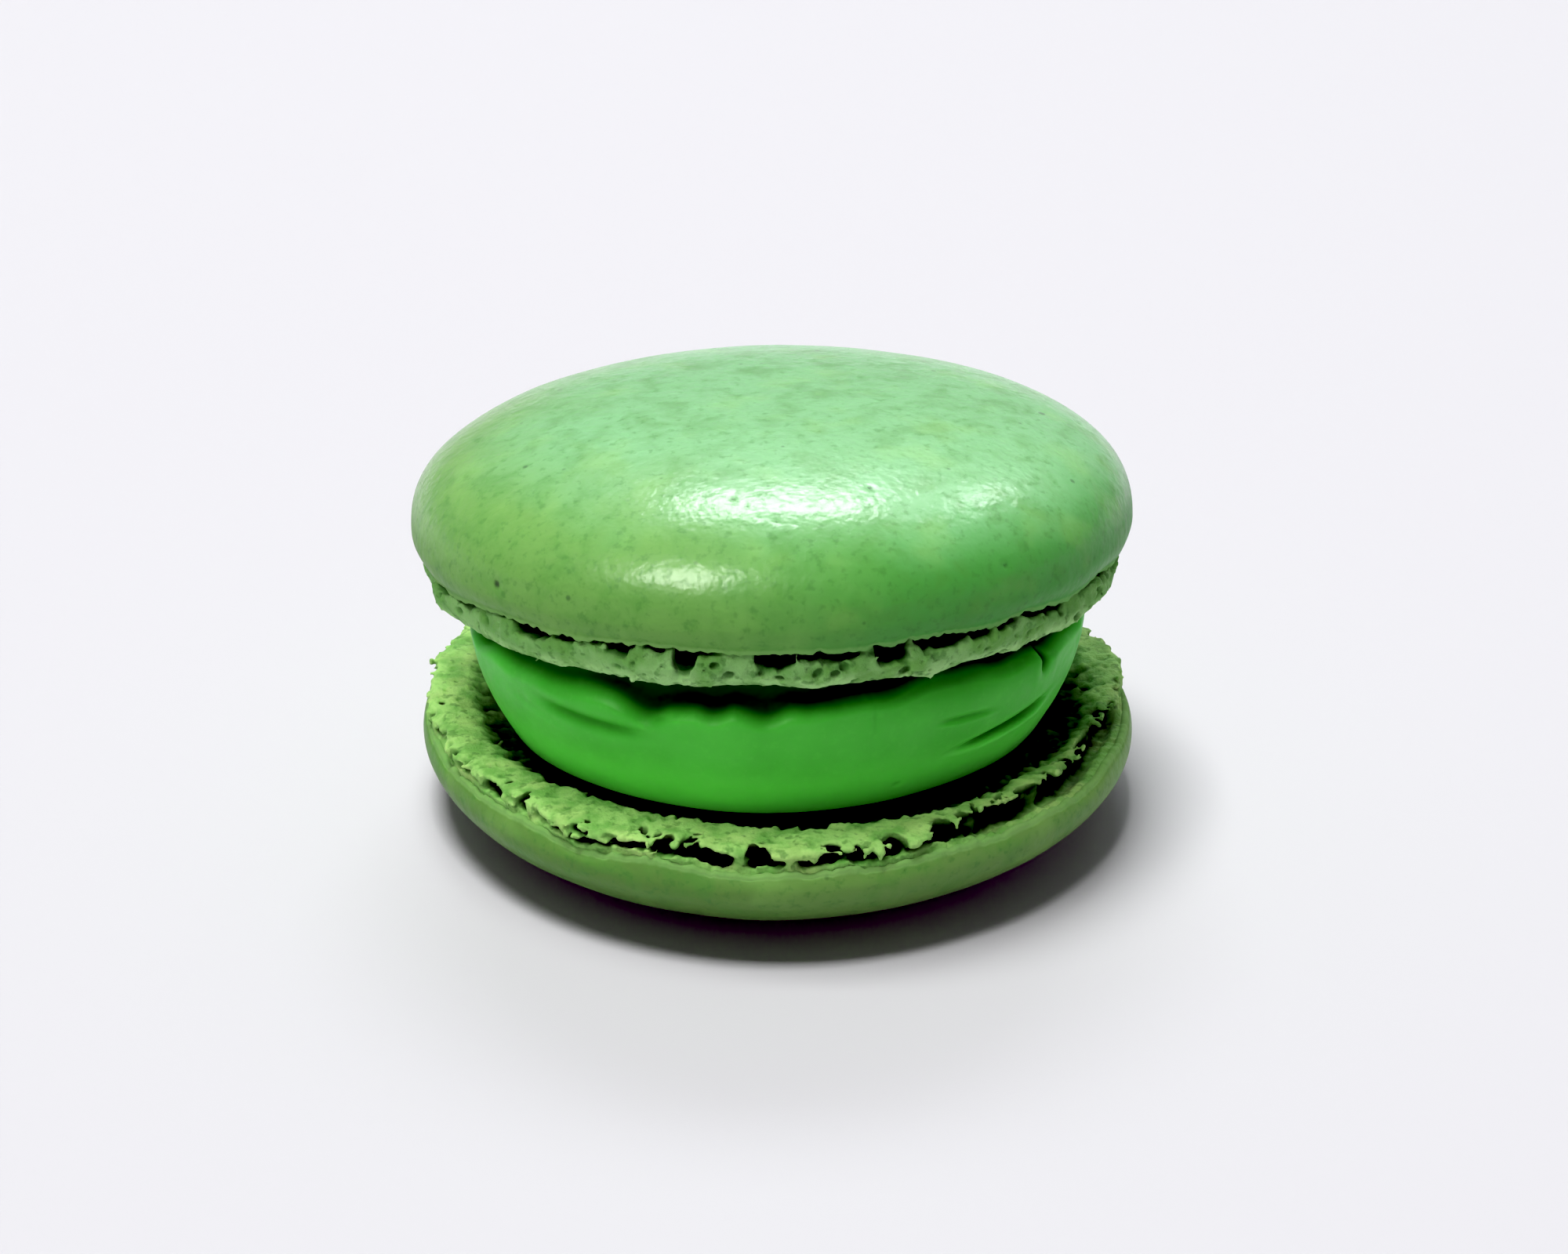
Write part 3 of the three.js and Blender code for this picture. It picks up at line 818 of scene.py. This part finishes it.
class Nodes:
    """A short way to write a node tree. Sizes and distances are in mm."""

    def __init__(self, tree, coordinates="Object"):
        self.tree = tree
        self.place = self.new("TexCoord").outputs[coordinates]

    def put(self, socket, value):
        if isinstance(value, bpy.types.NodeSocket):
            self.tree.links.new(value, socket)
        else:
            socket.default_value = value

    def fill(self, node, **values):
        """Puts values on a node's sockets. A name has _ where the socket's has a space."""
        for name, value in values.items():
            self.put(node.inputs[name.replace("_", " ")], value)
        return node

    def new(self, kind, **values):
        return self.fill(self.tree.nodes.new("ShaderNode" + kind), **values)

    def noise(self, size, detail, rough, distortion=0.0):
        node = self.new("TexNoise", Vector=self.place, Scale=1 / (size * MM), Detail=detail)
        return self.fill(node, Roughness=rough, Distortion=distortion).outputs["Fac"]

    def axes(self):
        """Where a place lies along X, Y and Z, in metres."""
        split = self.new("SeparateXYZ", Vector=self.place)
        return split.outputs["X"], split.outputs["Y"], split.outputs["Z"]

    def attribute(self, name):
        node = self.new("Attribute")
        node.attribute_name = name
        return node.outputs["Fac"]

    def ramp(self, value, low, high, to_low=0.0, to_high=1.0, smooth=True):
        node = self.new("MapRange", Value=value, From_Min=low, From_Max=high, To_Min=to_low, To_Max=to_high)
        node.interpolation_type = "SMOOTHSTEP" if smooth else "LINEAR"
        return node.outputs["Result"]

    def math(self, operation, a, b):
        node = self.new("Math")
        node.operation = operation
        self.put(node.inputs[0], a)
        self.put(node.inputs[1], b)
        return node.outputs[0]

    def mix(self, share, a, b):
        """A colour between a and b."""
        node = self.new("Mix", Factor=share)
        node.data_type = "RGBA"
        self.put(node.inputs[6], a)
        self.put(node.inputs[7], b)
        return node.outputs[2]

    def tint(self, colour, where, low, high, most, *channels):
        """Mixes in an sRGB colour where a value goes from low to high, up to the share most."""
        return self.mix(self.ramp(where, low, high, 0, most), colour, srgb(*channels))

    def bump(self, height, distance, strength, normal=None):
        node = self.new("Bump", Height=height, Distance=distance * MM, Strength=strength)
        if normal is not None:
            self.put(node.inputs["Normal"], normal)
        return node.outputs[0]


def material(name):
    """An empty material, and its nodes."""
    made = bpy.data.materials.new(name)
    made.use_nodes = True
    made.node_tree.nodes.clear()
    return made, Nodes(made.node_tree)


def give_shader(n, **values):
    """Gives a material's nodes their shader."""
    shader = n.new("BsdfPrincipled", **values)
    n.put(n.new("OutputMaterial").inputs["Surface"], shader.outputs[0])


def srgb(*channels):
    """A linear colour from sRGB channels of 0 to 255."""
    shares = [c / 255 for c in channels]
    return tuple((c / 12.92 if c <= 0.04045 else ((c + 0.055) / 1.055) ** 2.4) for c in shares) + (1,)


PAINTED_SHEEN_LEAN_X, PAINTED_SHEEN_LEAN_Y = 0.06, 0.107  # how the painted sheen on top leans with the upper shell
PAINTED_SHEEN_START, PAINTED_SHEEN_FULL = 0.0225, 0.0265  # in metres above the table


def skin_colour(n, left_shading_tone, deep, painted_top_sheen, fine):
    """Painted light and shade: one tone to the left and another to the right, and a pale painted sheen on
    top; mottled, with dark specks.
    """
    x, y, z = n.axes()
    patches = n.ramp(n.noise(9.0, 3, 0.5), 0.2, 0.8, -0.004, 0.004)
    # Painted light and shade from side to side: the left tone turns into the right tone along X.
    colour = n.mix(n.ramp(n.math("ADD", x, patches), -0.013, 0.013), left_shading_tone, deep)
    lift = n.math("ADD", z, n.math("MULTIPLY", y, PAINTED_SHEEN_LEAN_Y))
    lift = n.math("ADD", lift, n.math("MULTIPLY", x, PAINTED_SHEEN_LEAN_X))
    lift = n.math("ADD", lift, n.math("MULTIPLY", patches, 0.25))
    # Painted sheen: the top of the dome is paler the higher it lies.
    colour = n.mix(n.ramp(lift, PAINTED_SHEEN_START, PAINTED_SHEEN_FULL), colour, painted_top_sheen)
    colour = n.tint(colour, n.noise(2.2, 4, 0.6, 0.4), 0.42, 0.72, 0.5, 72, 136, 50)
    colour = n.tint(colour, fine, 0.52, 0.74, 0.45, 56, 116, 44)
    colour = n.tint(colour, n.noise(3.5, 2, 0.5), 0.5, 0.75, 0.2, 140, 190, 96)
    dots = n.new("TexVoronoi", Vector=n.place, Scale=1 / (1.5 * MM))
    size = n.ramp(dots.outputs["Color"], 0.55, 1.0, 0.02, 0.22, smooth=False)
    dot = n.math("SUBTRACT", size, dots.outputs["Distance"])
    colour = n.tint(colour, dot, 0.0, 0.1, 0.6, 30, 76, 28)
    colour = n.tint(colour, n.attribute("speck"), 0.2, 0.9, 0.9, 20, 48, 20)
    return n.tint(colour, n.attribute("rim"), 0.6, 1.0, 0.35, 140, 188, 112)


def skin_material(name, left_shading_tone, deep, painted_top_sheen, coat):
    """Satin baked skin, glossiest on the dome and matt at the lip."""
    made, n = material(name)
    fine = n.noise(0.55, 2, 0.6)
    rough = n.ramp(n.noise(0.9, 2, 0.6), 0.3, 0.7, 0.42, 0.52)
    rough = n.math("ADD", rough, n.ramp(n.attribute("rim"), 0.2, 1.0, 0, 0.4))
    normal = n.bump(n.noise(0.5, 1, 0.5), 0.036, 0.9)
    normal = n.bump(n.noise(1.3, 1, 0.5), 0.05, 0.8, normal)
    low, speck = n.attribute("low"), n.attribute("speck")
    shine = n.math("MULTIPLY", n.ramp(low, 0.1, 1.0, coat, 0.02), n.ramp(speck, 0.1, 0.6, 1.0, 0.0))
    shine = n.math("MULTIPLY", shine, n.ramp(fine, 0.45, 0.75, 1.0, 0.45))
    give_shader(
        n, Base_Color=skin_colour(n, left_shading_tone, deep, painted_top_sheen, fine), Roughness=rough, IOR=1.5, Normal=normal,
        Specular_IOR_Level=n.ramp(low, 0.0, 1.0, 0.4, 0.18),
        Coat_Weight=shine, Coat_Roughness=0.22, Coat_Normal=normal,
        Subsurface_Weight=0.12, Subsurface_Radius=(0.5, 1.0, 0.35), Subsurface_Scale=0.6 * MM,
    )
    return made


def crumb_material(name, light, side, pale, dark):
    """Matt baked crumb: mottled, pitted, with a painted highlight at the hem and painted shade deep behind
    the foot's outline.
    """
    made, n = material(name)
    deep = n.attribute("deep")
    # Painted highlight: the crumb is lighter towards the flat face, where its edge catches the light.
    colour = n.mix(n.ramp(n.attribute("hem"), 0.0, 1.0), side, light)
    colour = n.tint(colour, n.noise(1.6, 3, 0.6), 0.42, 0.62, 0.8, 98, 158, 68)
    colour = n.mix(n.ramp(n.noise(2.4, 2, 0.5), 0.45, 0.65, 0, 0.5), colour, pale)
    colour = n.tint(colour, n.noise(0.6, 2, 0.5), 0.54, 0.7, 0.6, 60, 118, 42)
    # Painted shade: a darker green, then the dark colour, the deeper a place lies behind the foot's outline.
    colour = n.tint(colour, deep, 0.08, 0.32, 0.5, 54, 124, 40)
    colour = n.mix(n.ramp(deep, 0.22, 0.75, 0, 1), colour, dark)
    normal = n.bump(n.noise(0.35, 3, 0.6), 0.12, 0.9)
    normal = n.bump(n.noise(0.12, 3, 0.6), 0.04, 0.8, normal)
    give_shader(
        n, Base_Color=colour, Roughness=0.8, Normal=normal,
        Specular_IOR_Level=n.ramp(deep, 0.1, 0.6, 0.35, 0.0),
        Subsurface_Weight=0.15, Subsurface_Radius=(0.5, 1.0, 0.35), Subsurface_Scale=0.4 * MM,
    )
    return made


def filling_material(name):
    """Smeared buttercream with a soft shine; painted shade under the upper shell and in folds, painted light
    at the foot.
    """
    made, n = material(name)
    tuck = n.attribute("tuck")
    colour = n.mix(n.ramp(n.noise(5.0, 3, 0.5), 0.3, 0.7), srgb(76, 190, 60), srgb(68, 179, 52))
    colour = n.tint(colour, n.noise(0.6, 3, 0.6), 0.5, 0.75, 0.2, 92, 210, 74)
    # Painted light at the foot of the filling.
    colour = n.tint(colour, n.attribute("low"), 0.0, 1.0, 0.8, 96, 222, 76)
    # Painted shade under the upper shell, in folds and dents, and on one side.
    colour = n.tint(colour, tuck, 0.0, 0.7, 0.95, 15, 62, 11)
    normal = n.bump(n.noise(1.1, 3, 0.5), 0.04, 0.5)
    normal = n.bump(n.noise(0.2, 2, 0.5), 0.01, 0.5, normal)
    give_shader(
        n, Base_Color=colour, Roughness=n.ramp(n.noise(1.5, 3, 0.6), 0.3, 0.7, 0.42, 0.54), Normal=normal,
        Specular_IOR_Level=n.ramp(tuck, 0.0, 0.3, 0.22, 0.0),
        Subsurface_Weight=0.35, Subsurface_Radius=(0.4, 1.0, 0.3), Subsurface_Scale=1.6 * MM,
    )
    return made


def floor_material():
    made, n = material("floor")
    give_shader(n, Base_Color=(0.655, 0.65, 0.67, 1), Roughness=0.7)
    return made


# ---------------- the macaron

UPPER_PLACE = (
    Matrix.Translation((SLIP, 0, UPPER_FACE))
    @ Matrix.Rotation(-LEAN_BACK, 4, "X")
    @ Matrix.Rotation(-LEAN_LEFT, 4, "Y")
)
THICKNESS = LOWER.equator_height + float(dome_height_at(LOWER, LOWER.flat_spot))  # of the lower shell
LOWER_PLACE = Matrix.Translation((0, 0, THICKNESS)) @ Matrix.Rotation(math.pi, 4, "X")
FILLING_PLACE = Matrix.Translation((SLIP, 0, THICKNESS))


def upper_face_at(x, y):
    """Height of the upper shell's flat face above the lower shell's."""
    normal = UPPER_PLACE.to_3x3() @ Vector((0, 0, 1))
    return UPPER_FACE - THICKNESS - (normal.x * x + normal.y * y) / normal.z


def flipped(rows):
    """Rows that start with a turn, for a shell that lies upside down."""
    return [(-row[0], *row[1:]) for row in rows]


def mirrored(stretches):
    """Stretches from one turn to another, for a shell that lies upside down."""
    return [(-end, -start, *rest) for start, end, *rest in stretches]


def shell(name, s, pits, features, place, skin, crumb):
    """A shell's skin and foot, and their materials by the colours and shine given."""
    skin = skin_material(name + "_skin", *skin)
    crumb = crumb_material(name + "_crumb", *crumb)
    node = name + "_shell"
    return [
        add_piece(name + "_skin", skin_mesh(s, pits), place, skin, node),
        add_piece(name + "_foot", foot_mesh(s, *features), place, crumb, node),
    ]


def macaron():
    upper = shell(
        "upper", UPPER, UPPER_PITS, (UPPER_CREVICE, UPPER_BUBBLES, UPPER_MOAT), UPPER_PLACE,
        # skin: left and right tones and the top's tone, which paint light and shade, then how glossy the
        # dome is
        skin=(srgb(101, 153, 70), srgb(70, 148, 60), srgb(114, 176, 115), 0.8),
        # crumb: the hem's painted highlight, the side, pale patches, and the painted shade deep inside
        crumb=(srgb(166, 216, 138), srgb(104, 162, 80), srgb(150, 200, 126), srgb(26, 82, 22)),
    )
    features = mirrored(LOWER_CREVICE), flipped(LOWER_BUBBLES), flipped(LOWER_MOAT)
    lower = shell(
        "lower", LOWER, LOWER_PITS, features, LOWER_PLACE,
        # skin: left and right tones and the top's tone, which paint light and shade, then how glossy the
        # dome is
        skin=(srgb(87, 132, 56), srgb(102, 146, 70), srgb(87, 132, 56), 0.3),
        # crumb: the hem's painted highlight, the side, pale patches, and the painted shade deep inside
        crumb=(srgb(150, 199, 108), srgb(120, 174, 86), srgb(172, 206, 120), srgb(16, 58, 12)),
    )
    cream = filling_material("buttercream")
    shape = filling_mesh(UPPER_FACE - THICKNESS, upper_face_at)
    return [*upper, *lower, add_piece("cream_filling", shape, FILLING_PLACE, cream, "filling")]


# ---------------- the studio

# Lights: name, turn and elevation in degrees, distance and size in metres, power in watts, colour.
FILLS = [
    ("ceiling", 180, 81.5, 2.0, (0.7, 0.7), 43.5, (1.0, 0.985, 1.0)),
    ("back_fill", 90, 50, 0.9, (0.46, 0.2), 1.8, (0.93, 0.97, 1.0)),
]
# These light the macaron alone, so the floor keeps its dark contact shadow.
MACARON_FILLS = [
    ("left_fill", -129, 47, 0.8, (0.35, 0.25), 3.0, (1.0, 0.98, 0.93)),
    ("right_fill", 10, 32, 0.9, (0.3, 0.2), 1.6, (0.97, 1.0, 0.97)),
    ("front_fill", -95, 10, 1.2, (0.6, 0.2), 1.5, (1.0, 1.0, 0.98)),
]
# These only shine in the skin's gloss.
GLINTS = [
    ("back_glint", 90, 54, 0.9, (0.31, 0.2), 3.6, (0.93, 0.97, 1.0)),
    ("side_glint", 57, 44, 0.9, (0.12, 0.14), 0.8, (0.93, 0.98, 1.0)),
    ("left_glint", -131, 51, 0.8, (0.26, 0.4), 4.6, (1.0, 0.985, 0.95)),
]
LIGHTS_AIM = Vector((0, 0, 0.015))
# The surroundings' brightness on the camera's side and behind the macaron, and as a low view sees them.
WORLD_FRONT, WORLD_BACK, WORLD_SEEN = 0.05, 0.34, 0.88
WORLD_COLOUR = (0.95, 0.97, 1.0, 1)
FLOOR_REACH = 1.1  # from its middle, in metres
BLACK_LEVEL = (0.007, 0.022, 0.006)  # what the picture shows as black

# The photograph's view, as fitted to the rims of the shells, for an image of 2000 by 1600 pixels.
IMAGE_WIDTH, IMAGE_HEIGHT = 2000, 1600
FOCAL = 5229.0  # in pixels
SENSOR = 36.0  # width of the sensor in mm, from which Blender works out the focal length
VIEW_DISTANCE = 260.0  # in mm, to the point that the camera aims at
VIEW_ELEVATION = math.radians(26.0)
AIM_HEIGHT = 11.0  # of the point on the axis that the pixel AIM_X, AIM_Y shows
AIM_X, AIM_Y = 990.0, 808.5


def camera():
    data = bpy.data.cameras.new("camera")
    data.sensor_width = SENSOR
    data.lens = SENSOR * FOCAL / IMAGE_WIDTH
    data.clip_start = 0.01
    data.clip_end = 20
    obj = add_object("camera", data)
    back, up = VIEW_DISTANCE * math.cos(VIEW_ELEVATION), VIEW_DISTANCE * math.sin(VIEW_ELEVATION)
    pitch = VIEW_ELEVATION - math.atan2(AIM_Y - IMAGE_HEIGHT / 2, FOCAL)
    yaw = math.atan2(AIM_X - IMAGE_WIDTH / 2, FOCAL)
    obj.location = Vector((0, -back, AIM_HEIGHT + up)) * MM
    obj.rotation_euler = (math.pi / 2 - pitch, 0, yaw)
    bpy.context.scene.camera = obj


def area_light(name, azimuth, elevation, distance, size, power, colour):
    """A soft rectangular light that faces the macaron."""
    turn, rise = math.radians(azimuth), math.radians(elevation)
    towards = Vector((math.cos(turn) * math.cos(rise), math.sin(turn) * math.cos(rise), math.sin(rise)))
    data = bpy.data.lights.new(name, "AREA")
    data.shape = "RECTANGLE"
    data.size, data.size_y = size
    data.energy = power
    data.color = colour
    obj = add_object(name, data)
    obj.location = LIGHTS_AIM + towards * distance
    obj.rotation_euler = (-towards).to_track_quat("-Z", "Y").to_euler()
    return obj


def lights(pieces):
    for row in FILLS:
        area_light(*row).visible_glossy = False
    for row in MACARON_FILLS:
        light = area_light(*row)
        light.visible_glossy = False
        group = bpy.data.collections.new(light.name + "_receivers")
        for piece in pieces:
            group.objects.link(piece)
        light.light_linking.receiver_collection = group
    for row in GLINTS:
        area_light(*row).visible_diffuse = False


def studio_world():
    """Pale surroundings, bright behind the macaron and dim on the camera's side."""
    world = bpy.data.worlds.new("studio")
    world.use_nodes = True
    n = Nodes(world.node_tree, "Generated")
    bright = n.ramp(n.axes()[1], -0.4, 0.7, WORLD_FRONT, WORLD_BACK)
    # Where a low view sees past the floor, the surroundings are as pale as the floor.
    seen = n.new("LightPath").outputs["Is Camera Ray"]
    strength = n.new("Mix", Factor=seen, A=bright, B=WORLD_SEEN).outputs["Result"]
    n.fill(world.node_tree.nodes["Background"], Color=WORLD_COLOUR, Strength=strength)
    bpy.context.scene.world = world


def stage():
    mesh = bpy.data.meshes.new("floor")
    corners = [(x * FLOOR_REACH, y * FLOOR_REACH, 0) for x, y in ((-1, -1), (1, -1), (1, 1), (-1, 1))]
    mesh.from_pydata(corners, [], [(0, 1, 2, 3)])
    mesh.materials.append(floor_material())
    add_object("floor", mesh)


def picture():
    """Plain colours, with a black level that keeps the dark places deep and saturated."""
    view = bpy.context.scene.view_settings
    view.view_transform = "Standard"
    view.use_curve_mapping = True
    view.curve_mapping.black_level = BLACK_LEVEL
    view.curve_mapping.update()


camera()
pieces = macaron()
stage()
lights(pieces)
studio_world()
picture()
